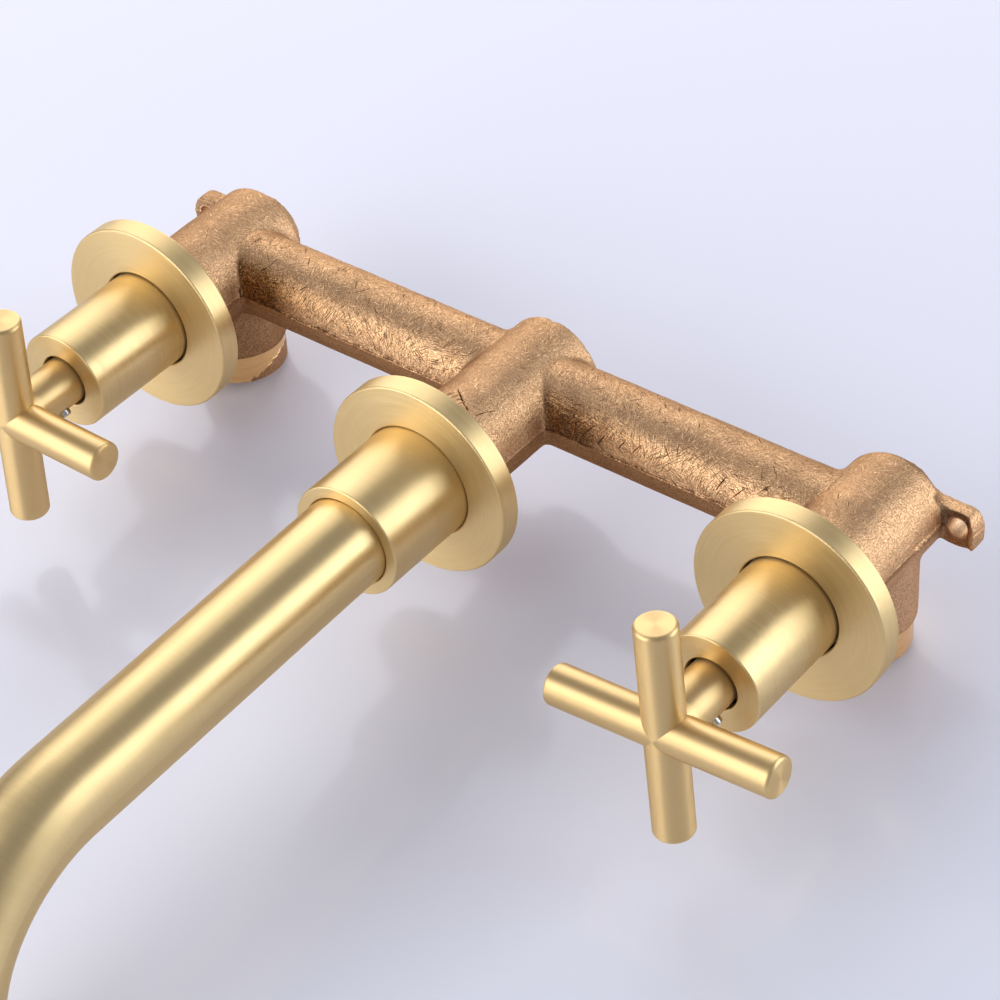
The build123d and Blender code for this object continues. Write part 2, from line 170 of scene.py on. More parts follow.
class Nodes:
    """A short way to write a node tree."""

    def __init__(self, tree):
        self.tree = tree
        self.tree.nodes.clear()

    def feed(self, socket, value):
        if isinstance(value, bpy.types.NodeSocket):
            self.tree.links.new(value, socket)
        else:
            socket.default_value = value

    def add(self, kind, inputs=None, **settings):
        node = self.tree.nodes.new(kind)
        for key, value in settings.items():
            setattr(node, key, value)
        for key, value in (inputs or {}).items():
            self.feed(node.inputs[key], value)
        return node

    def math(self, operation, first, second=0.0):
        return self.add("ShaderNodeMath", {0: first, 1: second}, operation=operation).outputs[0]

    def vector(self, operation, first, second=(0, 0, 0)):
        return self.add("ShaderNodeVectorMath", {0: first, 1: second}, operation=operation).outputs[0]

    def measure(self, operation, first, second=(0, 0, 0)):
        return self.add("ShaderNodeVectorMath", {0: first, 1: second}, operation=operation).outputs[1]

    def scaled(self, vector, factor):
        node = self.add("ShaderNodeVectorMath", {0: vector, "Scale": factor}, operation="SCALE")
        return node.outputs[0]

    def ramp(self, factor, low, high, start=0.0, end=1.0):
        inputs = {"Value": factor, "From Min": low, "From Max": high, "To Min": start, "To Max": end}
        return self.add("ShaderNodeMapRange", inputs, interpolation_type="SMOOTHSTEP").outputs[0]

    def mix(self, factor, first, second):
        node = self.add("ShaderNodeMix", data_type="RGBA")
        self.feed(node.inputs[0], factor)
        self.feed(node.inputs[6], first)
        self.feed(node.inputs[7], second)
        return node.outputs[2]

    def mix_vector(self, factor, first, second):
        node = self.add("ShaderNodeMix", data_type="VECTOR")
        self.feed(node.inputs[0], factor)
        self.feed(node.inputs[4], first)
        self.feed(node.inputs[5], second)
        return node.outputs[1]

    def noise(self, vector, scale, detail=2.0, roughness=0.5, w=None):
        inputs = {"Vector": vector, "Scale": scale, "Detail": detail, "Roughness": roughness}
        if w is not None:
            inputs["W"] = w
        node = self.add("ShaderNodeTexNoise", noise_dimensions="3D" if w is None else "4D")
        for key, value in inputs.items():
            self.feed(node.inputs[key], value)
        return node.outputs["Fac"]

    def attribute(self, name, output="Fac"):
        return self.add("ShaderNodeAttribute", attribute_name=name).outputs[output]

    def object_place(self):
        """The place on the object, in millimetres."""
        return self.scaled(self.add("ShaderNodeTexCoord").outputs["Object"], 1 / MM)

    def finish(self, **inputs):
        shader = self.add("ShaderNodeBsdfPrincipled", {key.replace("_", " "): value for key, value in inputs.items()})
        self.add("ShaderNodeOutputMaterial", {"Surface": shader.outputs[0]})

    def bump(self, height, distance, strength=1.0, normal=None):
        inputs = {"Strength": strength, "Distance": distance * MM, "Height": height}
        if normal is not None:
            inputs["Normal"] = normal
        return self.add("ShaderNodeBump", inputs).outputs[0]


def colour(red, green, blue):
    return (red, green, blue, 1.0)


def new_material(name):
    material = bpy.data.materials.new(name)
    material.use_nodes = True
    return material, Nodes(material.node_tree)


# Brushed gold

GOLD = colour(0.82, 0.63, 0.325)
GOLD_DEEP = colour(0.75, 0.55, 0.25)
HANDLE_GOLD = colour(0.80, 0.58, 0.28)
HANDLE_GOLD_DEEP = colour(0.735, 0.52, 0.23)


def brushed_gold(name, make_axis, lines=0.5, tones=(GOLD_DEEP, GOLD), roughness=0.38, anisotropic=0.78):
    """Satin gold whose fine lines run round an axis. make_axis gives the axis, the place from a
    point on the axis, and the distance along it. lines is how much the lines show."""
    material, nodes = new_material(name)
    place = nodes.object_place()
    axis, local, along = make_axis(nodes, place)
    lift = nodes.scaled(axis, nodes.measure("DOT_PRODUCT", local, axis))
    radial = nodes.vector("SUBTRACT", local, lift)
    radius = nodes.measure("LENGTH", radial)
    unit = nodes.vector("NORMALIZE", radial)
    run = nodes.math("ADD", along, radius)
    fine = nodes.noise(nodes.scaled(unit, 1.6), 1.0, 2.0, 0.6, nodes.math("MULTIPLY", run, 5.5))
    broad = nodes.noise(nodes.scaled(unit, 1.2), 1.0, 2.0, 0.5, nodes.math("MULTIPLY", run, 0.9))
    haze = nodes.noise(place, 0.06, 2.0, 0.5)
    mixed = nodes.math("ADD", nodes.math("MULTIPLY", fine, 0.7), nodes.math("MULTIPLY", broad, 0.3))
    tone = nodes.mix(nodes.ramp(mixed, 0.5 - 0.12 / lines, 0.5 + 0.12 / lines), *tones)
    rough = nodes.ramp(mixed, 0.3, 0.7, roughness - 0.10 * lines, roughness + 0.10 * lines)
    rough = nodes.math("ADD", rough, nodes.ramp(haze, 0.3, 0.7, -0.02, 0.02))
    around = nodes.add("ShaderNodeVectorTransform", {0: nodes.vector("CROSS_PRODUCT", axis, unit)},
                       vector_type="VECTOR", convert_from="OBJECT", convert_to="WORLD").outputs[0]
    normal = nodes.add("ShaderNodeNewGeometry").outputs["Normal"]
    across_lines = nodes.vector("CROSS_PRODUCT", around, normal)
    nodes.finish(Base_Color=tone, Metallic=1.0, Roughness=rough, Anisotropic=anisotropic,
                 Coat_Weight=0.30, Coat_Roughness=0.28, Specular_Tint=colour(0.80, 0.70, 0.55),
                 Normal=nodes.bump(fine, 0.010, 0.5 * lines), Tangent=across_lines)
    return material


def outlet_axis(x):
    """An axis that points straight ahead, through x on the pipe."""
    def make(nodes, place):
        local = nodes.vector("SUBTRACT", place, (x, 0, 0))
        along = nodes.measure("DOT_PRODUCT", local, (0, -1, 0))
        return (0, -1, 0), local, along
    return make


def handle_axis(x, lean):
    """The axis of the stem, or of the arm that the place is on."""
    angle = math.radians(lean)
    level = (math.cos(angle), 0, -math.sin(angle))
    rise = (math.sin(angle), 0, math.cos(angle))

    def make(nodes, place):
        local = nodes.vector("SUBTRACT", place, (x, -PIPE_SETBACK - ARM_AHEAD, 0))
        across = nodes.measure("DOT_PRODUCT", local, level)
        upward = nodes.measure("DOT_PRODUCT", local, rise)
        behind = nodes.measure("DOT_PRODUCT", local, (0, 1, 0))
        on_rise = nodes.math("GREATER_THAN", nodes.math("ABSOLUTE", upward), nodes.math("ABSOLUTE", across))
        on_stem = nodes.math("GREATER_THAN", behind, ARM_RADIUS)
        axis = nodes.mix_vector(on_stem, nodes.mix_vector(on_rise, level, rise), (0, -1, 0))
        return axis, local, nodes.measure("DOT_PRODUCT", local, axis)
    return make


def spout_axis(nodes, place):
    """The spout's middle line: straight ahead, then round its bend, then down."""
    centre = nodes.vector("SUBTRACT", place, (0, -PIPE_SETBACK - BEND_AHEAD, BEND_Z))
    flat = nodes.vector("MULTIPLY", centre, (0, 1, 1))
    parts = nodes.add("ShaderNodeSeparateXYZ", {0: centre})
    in_run = nodes.math("GREATER_THAN", parts.outputs[1], 0.0)
    in_end = nodes.math("LESS_THAN", parts.outputs[2], 0.0)
    outward = nodes.vector("NORMALIZE", flat)
    bend_axis = nodes.vector("CROSS_PRODUCT", (1, 0, 0), outward)
    axis = nodes.mix_vector(in_end, nodes.mix_vector(in_run, bend_axis, (0, -1, 0)), (0, 0, -1))
    on_line = nodes.scaled(outward, BEND_RADIUS)
    local = nodes.vector("SUBTRACT", centre, on_line)
    in_straight = nodes.vector("SUBTRACT", centre, (0, 0, BEND_RADIUS))
    in_down = nodes.vector("SUBTRACT", centre, (0, -BEND_RADIUS, 0))
    local = nodes.mix_vector(in_end, nodes.mix_vector(in_run, local, in_straight), in_down)
    angle = nodes.math("ARCTAN2", parts.outputs[2], nodes.math("MULTIPLY", parts.outputs[1], -1.0))
    bend_along = nodes.math("MULTIPLY", angle, -BEND_RADIUS)
    straight = nodes.math("MULTIPLY", parts.outputs[1], -1.0)
    along = nodes.add("ShaderNodeMix", {0: in_run, 2: bend_along, 3: straight}, data_type="FLOAT").outputs[0]
    along = nodes.add("ShaderNodeMix", {0: in_end, 2: along, 3: parts.outputs[2]}, data_type="FLOAT").outputs[0]
    return axis, local, along


# Rough cast bronze

SHINE = colour(0.98, 0.66, 0.38)
GROUND_BRIGHT = colour(0.88, 0.545, 0.295)
GROUND = colour(0.58, 0.345, 0.18)
GROUND_DARK = colour(0.17, 0.085, 0.04)
# Painted shade, partly a duller finish: the tone of the pipe's top and the bosses' left sides.
DULL_AND_SHADE = colour(0.33, 0.197, 0.112)
# Painted shade: the boss's shadow and dark reflection on the pipe beside it.
CREASE_SHADE = colour(0.125, 0.046, 0.008)
# Tones below the parting line: the as-cast finish, made darker as painted shade as well.
AS_CAST = colour(0.54, 0.305, 0.155)
AS_CAST_DARK = colour(0.32, 0.17, 0.08)
# Painted light: the tone of the right tower's lower right side.
LIT_LOW_RIGHT = colour(0.82, 0.52, 0.31)
LINE = colour(0.12, 0.055, 0.03)
# Painted shade in the right ear's pocket, and the darker tone of the file marks' grooves.
SHADE_AND_GROOVE_TONE = colour(0.07, 0.035, 0.02)
MACHINED = colour(0.74, 0.49, 0.29)


def strokes(nodes, skin, patch, length, width, seed):
    """Short scratches: noise drawn out along a direction that changes from patch to patch."""
    moved = nodes.vector("ADD", skin, (seed * 7.3, seed * 11.9, 0))
    cells = nodes.add("ShaderNodeTexVoronoi", {"Vector": moved, "Scale": 1 / patch},
                      voronoi_dimensions="2D")
    hue = nodes.add("ShaderNodeSeparateColor", {0: cells.outputs["Color"]})
    angle = nodes.math("MULTIPLY", hue.outputs[0], math.pi)
    turned = nodes.add("ShaderNodeVectorRotate", {"Vector": moved, "Angle": angle},
                       rotation_type="Z_AXIS").outputs[0]
    drawn = nodes.vector("MULTIPLY", turned, (1 / length, 1 / width, 0))
    return nodes.noise(drawn, 1.0, 1.0, 0.5)


def cast_bronze():
    """Bronze as cast below the parting line, and ground by hand above it, with painted shade and painted light in
    places.
    """
    material, nodes = new_material("cast_bronze")
    place = nodes.object_place()
    skin = nodes.attribute("skin", "Vector")
    parting = nodes.attribute("parting")
    machined = nodes.attribute("machined")
    filed = nodes.attribute("filed")
    long_marks = strokes(nodes, skin, 9.0, 5.0, 0.20, 1)
    cross_marks = strokes(nodes, skin, 7.0, 3.0, 0.18, 2)
    flecks = strokes(nodes, skin, 4.6, 2.7, 0.34, 3)
    speckle = nodes.noise(place, 2.2, 2.0, 0.6)
    sparkle = nodes.noise(place, 4.2, 1.0, 0.5)
    cloud = nodes.noise(place, 0.11, 3.0, 0.55)
    ragged = nodes.ramp(speckle, 0.3, 0.7, -0.2, 0.2)
    ground = nodes.ramp(nodes.math("ADD", parting, ragged), -0.12, 0.12)

    tone = nodes.mix(nodes.ramp(speckle, 0.38, 0.60), GROUND, GROUND_BRIGHT)
    # Painted shade, partly a duller finish: darker on the pipe's top and on the bosses' left, lighter on their right
    # flanks.
    dull_and_shade = nodes.math("MULTIPLY", nodes.attribute("dull_and_shade"), nodes.ramp(cloud, 0.35, 0.65, 0.50, 0.80))
    tone = nodes.mix(dull_and_shade, tone, DULL_AND_SHADE)
    # Painted shade on the pipe's front beside the right side of each boss: the boss's shadow and dark reflection.
    crease_shade = nodes.math("MULTIPLY", nodes.attribute("crease_shade"), nodes.ramp(speckle, 0.38, 0.72, 1.0, 0.45))
    tone = nodes.mix(crease_shade, tone, CREASE_SHADE)
    glint = nodes.math("MAXIMUM", nodes.ramp(flecks, 0.38, 0.28), nodes.ramp(sparkle, 0.62, 0.74))
    # The flecks are dimmer in the painted shade beside the bosses.
    tone = nodes.mix(nodes.math("MULTIPLY", glint, nodes.ramp(nodes.attribute("crease_shade"), 0.0, 1.0, 0.8, 0.3)),
                     tone, SHINE)
    tone = nodes.mix(nodes.ramp(flecks, 0.60, 0.71, 0.0, 0.42), tone, GROUND_DARK)
    bright = nodes.math("MULTIPLY", filed, nodes.ramp(long_marks, 0.36, 0.28, 0.0, 0.8))
    tone = nodes.mix(bright, tone, SHINE)
    deep = nodes.math("MULTIPLY", filed, nodes.ramp(long_marks, 0.63, 0.70, 0.0, 0.9))
    tone = nodes.mix(deep, tone, GROUND_DARK)
    crossed = nodes.math("MULTIPLY", filed, nodes.ramp(cross_marks, 0.64, 0.71, 0.0, 0.85))
    tone = nodes.mix(crossed, tone, GROUND_DARK)
    # Below the parting line: the as-cast finish, also darker as painted shade on the faces that look down.
    rest = nodes.mix(nodes.ramp(speckle, 0.34, 0.62), AS_CAST_DARK, AS_CAST)
    rest = nodes.mix(nodes.ramp(flecks, 0.60, 0.72, 0.0, 0.6), rest, AS_CAST_DARK)
    rest = nodes.mix(nodes.ramp(cloud, 0.35, 0.7, 0.0, 0.3), rest, AS_CAST_DARK)
    # Painted light on the right tower's lower right side.
    lit_low_right = nodes.math("MULTIPLY", nodes.attribute("lit_low_right"), nodes.ramp(speckle, 0.36, 0.64, 0.45, 1.0))
    rest = nodes.mix(lit_low_right, rest, LIT_LOW_RIGHT)
    tone = nodes.mix(ground, rest, tone)
    off_line = nodes.math("ABSOLUTE", nodes.math("SUBTRACT", parting, 0.12))
    half_width = nodes.ramp(nodes.noise(place, 0.5, 3.0, 0.6), 0.36, 0.64, 0.06, 0.20)
    line = nodes.ramp(nodes.math("SUBTRACT", off_line, half_width), -0.07, 0.07, 0.8, 0.0)
    tone = nodes.mix(nodes.math("MULTIPLY", line, nodes.ramp(filed, 0.1, 0.6)), tone, LINE)
    on_boss = nodes.ramp(filed, 0.4, 0.2)
    # Painted highlight: a thin bright line along the raised flash at the parting line on the bosses.
    flash_highlight = nodes.ramp(nodes.math("ABSOLUTE", nodes.math("SUBTRACT", parting, 0.02)), 0.06, 0.16, 0.9, 0.0)
    tone = nodes.mix(nodes.math("MULTIPLY", flash_highlight, on_boss), tone, SHINE)
    # Painted shade in the upper half of the right ear's pocket; the file marks' grooves are made darker.
    pocket_shade_and_dark_grooves = nodes.attribute("pocket_shade_and_dark_grooves")
    tone = nodes.mix(nodes.math("MULTIPLY", pocket_shade_and_dark_grooves, nodes.ramp(speckle, 0.3, 0.6, 0.5, 1.0)), tone, SHADE_AND_GROOVE_TONE)
    tone = nodes.mix(machined, tone, MACHINED)

    cuts = nodes.math("MULTIPLY", nodes.ramp(long_marks, 0.57, 0.72), -1.7)
    cuts = nodes.math("ADD", cuts, nodes.math("MULTIPLY", nodes.ramp(cross_marks, 0.57, 0.72), -1.5))
    height = nodes.math("MULTIPLY", nodes.math("MULTIPLY", cuts, ground), filed)
    height = nodes.math("ADD", height, nodes.math("MULTIPLY", flecks, 1.0))
    height = nodes.math("ADD", height, nodes.math("MULTIPLY", speckle, nodes.ramp(filed, 0.1, 0.9, 1.8, 1.4)))
    height = nodes.math("ADD", height, nodes.math("MULTIPLY", sparkle, nodes.ramp(filed, 0.1, 0.9, 1.3, 0.7)))
    rough = nodes.ramp(speckle, 0.3, 0.7, 0.46, 0.34)
    rough = nodes.math("ADD", rough, nodes.ramp(ground, 0.0, 1.0, 0.14, 0.0))
    rough = nodes.math("SUBTRACT", rough, nodes.math("MULTIPLY", bright, 0.08))
    rough = nodes.math("SUBTRACT", rough, nodes.math("MULTIPLY", machined, 0.10))
    nodes.finish(Base_Color=tone, Metallic=1.0, Roughness=rough, Normal=nodes.bump(height, 0.10, 0.9),
                 Specular_Tint=colour(0.55, 0.42, 0.35))
    return material


def machined_band():
    """Turned bronze with the marks of the tool, and a patch left as cast."""
    material, nodes = new_material("machined_band")
    place = nodes.object_place()
    parts = nodes.add("ShaderNodeSeparateXYZ", {0: place})
    raw = nodes.attribute("raw")
    grain = nodes.noise(place, 2.2, 3.0, 0.65)
    edge = nodes.ramp(nodes.math("ADD", raw, nodes.ramp(grain, 0.3, 0.7, -0.3, 0.3)), 0.42, 0.58)
    marks = nodes.noise(nodes.scaled(place, 0.15), 1.0, 2.0, 0.5, nodes.math("MULTIPLY", parts.outputs[2], 7.0))
    turned = nodes.mix(nodes.ramp(marks, 0.35, 0.65), colour(0.88, 0.51, 0.20), colour(0.98, 0.65, 0.31))
    rest = nodes.mix(nodes.ramp(grain, 0.35, 0.62), AS_CAST_DARK, AS_CAST)
    tone = nodes.mix(edge, turned, rest)
    rough = nodes.ramp(edge, 0.0, 1.0, 0.24, 0.55)
    height = nodes.math("ADD", nodes.math("MULTIPLY", marks, 0.3), nodes.math("MULTIPLY", grain, edge))
    nodes.finish(Base_Color=tone, Metallic=1.0, Roughness=rough, Normal=nodes.bump(height, 0.07, 0.6))
    return material


# Other materials

def grained(name, base, metallic, roughness, grain_size=0.5, bump=0.02, contrast=0.15):
    """An even material with a fine grain of the given size in millimetres."""
    material, nodes = new_material(name)
    place = nodes.object_place()
    grain = nodes.noise(place, 1 / grain_size, 3.0, 0.6)
    cloud = nodes.noise(place, 0.2, 2.0, 0.5)
    dark = colour(*[part * (1 - contrast) for part in base])
    tone = nodes.mix(nodes.ramp(grain, 0.3, 0.7), dark, colour(*base))
    tone = nodes.mix(nodes.ramp(cloud, 0.4, 0.7, 0.0, 0.5), tone, dark)
    rough = nodes.ramp(grain, 0.3, 0.7, roughness - 0.05, roughness + 0.06)
    nodes.finish(Base_Color=tone, Metallic=metallic, Roughness=rough, Normal=nodes.bump(grain, bump, 0.5))
    return material


# Meshes

def mesh_object(name, mesh):
    thing = bpy.data.objects.new(name, mesh)
    bpy.context.scene.collection.objects.link(thing)
    return thing


def applied(thing):
    """The thing's mesh with its modifiers, in a fresh mesh. The thing itself is removed."""
    seen = thing.evaluated_get(bpy.context.evaluated_depsgraph_get())
    mesh = bpy.data.meshes.new_from_object(seen)
    old = thing.data
    bpy.data.objects.remove(thing)
    bpy.data.meshes.remove(old)
    return mesh


def get_points(mesh):
    """The mesh's points in millimetres as x, ahead and z."""
    points = np.empty(len(mesh.vertices) * 3)
    mesh.vertices.foreach_get("co", points)
    points = points.reshape(-1, 3) / MM
    return points * (1, -1, 1) + (0, -PIPE_SETBACK, 0)


def to_world(points):
    return (points - (0, -PIPE_SETBACK, 0)) * (1, -1, 1) * MM


def set_points(mesh, points):
    mesh.vertices.foreach_set("co", to_world(points).ravel())
    mesh.update()


def get_normals(mesh):
    normals = np.empty(len(mesh.vertices) * 3)
    mesh.vertex_normals.foreach_get("vector", normals)
    return normals.reshape(-1, 3) * (1, -1, 1)


def set_attribute(mesh, name, values):
    kind = "FLOAT" if values.ndim == 1 else "FLOAT_VECTOR"
    field = "value" if values.ndim == 1 else "vector"
    layer = mesh.attributes.new(name, kind, "POINT")
    layer.data.foreach_set(field, values.astype(np.float32).ravel())


def lumps(points, size, seed):
    """Smooth noise from about -1 to 1, with lumps of the given size in millimetres."""
    shift = np.array((17.3, 5.1, 9.7)) * seed
    return np.array([noise.noise(Vector(point)) for point in points / size + shift])


def hump(values, middle, half_width):
    """1 at the middle and near 0 beyond the half width."""
    return np.exp(-(((values - middle) / half_width) ** 2))


def rise(values, low, high):
    """0 below low, 1 above high and smooth between them."""
    share = np.clip((values - low) / (high - low), 0, 1)
    return share * share * (3 - 2 * share)


def relax(mesh, rounds, share, chosen=1.0):
    """Moves each chosen point towards its neighbours' middle."""
    points = get_points(mesh)
    edges = np.empty(len(mesh.edges) * 2, dtype=np.int64)
    mesh.edges.foreach_get("vertices", edges)
    first, second = edges.reshape(-1, 2).T
    count = np.bincount(edges, minlength=len(points))[:, None]
    for _ in range(rounds):
        total = np.zeros_like(points)
        for axis in range(3):
            total[:, axis] += np.bincount(first, points[second, axis], len(points))
            total[:, axis] += np.bincount(second, points[first, axis], len(points))
        points += share * chosen * (total / count - points)
    set_points(mesh, points)


def cylinder(shape, centre, ahead_ends=None, z_ends=None, x_ends=None, radius=1.0, segments=96):
    """Adds a closed cylinder that points ahead, up or crosswise. Its centre is given as x and z, as
    x and ahead, or as ahead and z."""
    low, high = ahead_ends or z_ends or x_ends
    depth = (high - low) * MM
    middle = (high + low) / 2
    if ahead_ends:
        place = Vector((centre[0], -PIPE_SETBACK - middle, centre[1])) * MM
        turn = Matrix.Rotation(math.pi / 2, 4, "X")
    elif x_ends:
        place = Vector((middle, -PIPE_SETBACK - centre[0], centre[1])) * MM
        turn = Matrix.Rotation(math.pi / 2, 4, "Y")
    else:
        place = Vector((centre[0], -PIPE_SETBACK - centre[1], middle)) * MM
        turn = Matrix.Identity(4)
    bmesh.ops.create_cone(shape, cap_ends=True, segments=segments, radius1=radius * MM,
                          radius2=radius * MM, depth=depth, matrix=Matrix.Translation(place) @ turn)


def even_skin():
    """The valve body's outer skin, with its openings closed, as an even mesh that can be carved."""
    shape = bmesh.new()
    shape.from_mesh(frame["nodes"]["valve_body"].data)
    cylinder(shape, (0, 0), (CENTRE_BOSS_FRONT - 3, CENTRE_BOSS_FRONT - 0.1), radius=CAVITY_RADIUS + 1)
    for side in (-1, 1):
        x = side * SIDE_X
        cylinder(shape, (x, 0), (SIDE_BOSS_FRONT - 3, SIDE_BOSS_FRONT - 0.1), radius=CAVITY_RADIUS + 1)
        cylinder(shape, (x, 0), z_ends=(INLET_LOW + 0.1, INLET_LOW + 4), radius=THREAD_RADIUS + 1.5)
        hole = (side * EAR_HOLE_X, 0)
        cylinder(shape, hole, (EAR_BACK + 0.1, EAR_FACE - 0.1), radius=EAR_HOLE_RADIUS + 0.3)
    mesh = bpy.data.meshes.new("skin")
    shape.to_mesh(mesh)
    shape.free()
    thing = mesh_object("skin", mesh)
    even = thing.modifiers.new("even", "REMESH")
    even.mode = "VOXEL"
    even.voxel_size = SKIN_CELL * MM
    mesh = applied(thing)
    shape = bmesh.new()
    shape.from_mesh(mesh)
    low_line = -1.1 * MM
    high_line = 1.1 * MM
    fine = []
    for face in shape.faces:
        middle = face.calc_center_median()
        if low_line < middle.z < high_line or abs(middle.x) > (SIDE_X + 12.5) * MM:
            fine.append(face)
    edges = {edge for face in fine for edge in face.edges}
    bmesh.ops.subdivide_edges(shape, edges=list(edges), cuts=1, use_grid_fill=True)
    shape.to_mesh(mesh)
    shape.free()
    shape_ears(mesh)
    relax(mesh, 3, 0.5)
    on_ear = rise(np.abs(get_points(mesh)[:, :1]), SIDE_X + 13.0, SIDE_X + 14.5)
    relax(mesh, 20, 0.5, on_ear)
    return mesh


def shape_ears(mesh):
    """Fills the left ear's pocket, and leaves the right one only above the parting line."""
    points = get_points(mesh)
    x, ahead, z = points.T
    outward = np.abs(x) - EAR_HOLE_X
    pocket = (x > 0) * (1 - rise(outward, 2.6, 3.6)) * rise(z, -1.4, -0.4)
    low_half = EAR_LOW_STEP * rise(-z, 0.0, 0.8) * (1 - rise(outward, 2.6, 3.6))
    level = EAR_FACE + EAR_RIM_HEIGHT * (1 - pocket) * (1 - low_half) - 0.5 * rise(-z, 0.4, 4.0)
    on_ear = rise(np.abs(x), SIDE_X + 14.2, SIDE_X + 15.2)
    on_face = on_ear * (ahead > EAR_FACE - 0.4) * (1 - rise(z, 4.6, 5.4))
    points[:, 1] += on_face * (level - ahead)
    near_end = rise(outward, 0.5, 4.0)
    points[:, 0] += EAR_END_GROWTH * near_end * np.sign(x)
    points[:, 2] += near_end * EAR_TOP_GROWTH * rise(z, 2.0, 4.5)
    below_root = rise(np.abs(x), SIDE_X + 13.2, SIDE_X + 14.6)
    points[:, 2] -= (below_root * EAR_LOW_GROWTH - near_end * EAR_CORNER_LOSS) * rise(-z, 2.0, 4.5)
    set_points(mesh, points)


def outlet_of(x):
    """The x of the outlet that each place belongs to."""
    return np.where(np.abs(x) > SIDE_X / 2, np.sign(x) * SIDE_X, 0.0)


def on_parts(points):
    """How far each point is from the pipe's, the boss's and the tower's round skin."""
    x, ahead, z = points.T
    beside = x - outlet_of(x)
    from_pipe = np.abs(np.hypot(ahead, z) - PIPE_RADIUS)
    from_pipe[np.abs(x) > SIDE_X] = 99
    from_boss = np.abs(np.hypot(beside, z) - BOSS_RADIUS)
    from_tower = np.abs(np.hypot(beside, ahead) - TOWER_RADIUS)
    from_tower[(z > -6) | (outlet_of(x) == 0)] = 99
    return np.stack((from_pipe, from_boss, from_tower))


def skin_places(points):
    """Where each point lies on the skin: along and round the pipe, boss or tower, or on a flat."""
    x, ahead, z = points.T
    beside = x - outlet_of(x)
    flat = np.full((1, len(points)), 1.3)
    part = np.argmin(np.vstack((on_parts(points), flat)), axis=0)
    along = np.choose(part, (x, ahead + outlet_of(x), z + x, x))
    round_pipe = PIPE_RADIUS * np.arctan2(ahead, z)
    round_boss = BOSS_RADIUS * np.arctan2(beside, z) + 40
    round_tower = TOWER_RADIUS * np.arctan2(beside, ahead) + 90
    around = np.choose(part, (round_pipe, round_boss, round_tower, z + ahead - 60))
    return np.stack((along, around, np.zeros_like(along)), axis=1)


def finish_and_shade(points):
    """How filed the skin is at each point, and where shade and light are painted on it: darker on the pipe's top and
    the bosses' left (painted shade, partly a duller finish), painted shade beside the bosses, and painted light on the
    right tower's lower right side.
    """
    x, ahead, z = points.T
    pipe, boss, _ = on_parts(points)
    on_pipe = pipe < boss
    top = rise(z / PIPE_RADIUS, 0.45, 0.85)
    share = np.clip(0.5 + (boss - pipe) / 1.5, 0, 1)
    beside = x - outlet_of(x)
    right_flank = rise(beside / BOSS_RADIUS, 0.30, 0.75)
    filed = share * (1 - 0.45 * top) + (1 - share) * 0.15
    filed[np.abs(x) > SIDE_X + BOSS_RADIUS] = 0.42
    # Painted shade, partly a duller finish: darker on the pipe's top and on the bosses' left, lighter on their right
    # flanks.
    dull_and_shade = share * 0.72 * top + (1 - share) * 0.86 * (1 - right_flank)
    # Painted shade on the pipe's front beside the right side of each boss: the boss's shadow and dark reflection.
    reach = np.where(x > 0, 1.25, 1.0)
    strength = np.where(x > 0, 0.88, 1.15)
    in_corner = (beside > 0) * (1 - rise(beside - BOSS_RADIUS, 8 * reach, 19 * reach))
    crease_shade = np.minimum(on_pipe * strength * in_corner * rise(ahead / PIPE_RADIUS, 0.40, 0.85), 1)
    # Painted light on the right tower's lower right side.
    lit_low_right = rise(x, SIDE_X, SIDE_X + 8) * rise(-z, 0, 3) * rise(ahead, -12.6, -11.6)
    return filed, dull_and_shade, crease_shade, lit_low_right


def from_parting(points):
    """Height over the ragged parting line of the mould."""
    return points[:, 2] - 0.24 * lumps(points, 3.2, 1) - 0.16 * lumps(points, 1.2, 2)


def carve_skin(mesh):
    """Moves the even skin's points to the uneven surface of a hand finished casting."""
    points = get_points(mesh)
    normals = get_normals(mesh)
    x, ahead, z = points.T
    parting = from_parting(points)
    above = rise(parting, -0.15, 0.15)
    pipe, boss, tower = on_parts(points)
    on_pipe = (pipe < boss).astype(float)
    ledge = 0.35 + 0.65 * on_pipe
    height = above * WAVE * lumps(points, 7.0, 3)
    height += (1 - above) * 0.5 * WAVE * lumps(points, 15.0, 4)
    height += GRAIN * (0.4 + 0.6 * above) * lumps(points, 1.4, 5)
    height += ledge * (0.14 - 0.30 * above)
    lip = 0.5 + 0.5 * lumps(points, 2.4, 6)
    height += ledge * 0.26 * lip * hump(parting, -0.25, 0.35)
    height -= ledge * 0.20 * (1 - lip) * hump(parting, 0.3, 0.3)
    outward = np.abs(x) - SIDE_X
    outer_side = rise(outward, 10.0, 12.5) * rise(ahead, -13.0, -11.5)
    bead = 0.10 + rise(-ahead, 0.0, 3.0) * (0.40 + 0.45 * lumps(points, 1.7, 7))
    bead += 0.75 * hump(ahead, -1.6, 1.3)
    height += outer_side * bead * hump(parting, 0.0, 0.42)
    rim = hump(ahead, CENTRE_BOSS_BACK, 1.0) * (np.abs(x) < BOSS_RADIUS + 1) * rise(z, 3, 6)
    height -= rim * 0.28 * rise(lumps(points, 2.2, 8), 0.15, 0.45)
    set_points(mesh, points + normals * height[:, None])


def on_boss(centre_x):
    """The skin of a boss: a place's distance ahead and its angle from the top towards the right."""
    def surface(ahead, angle):
        sine = math.sin(math.radians(angle))
        cosine = math.cos(math.radians(angle))
        return Vector((centre_x + BOSS_RADIUS * sine, ahead, BOSS_RADIUS * cosine)), Vector((sine, 0, cosine))
    return surface


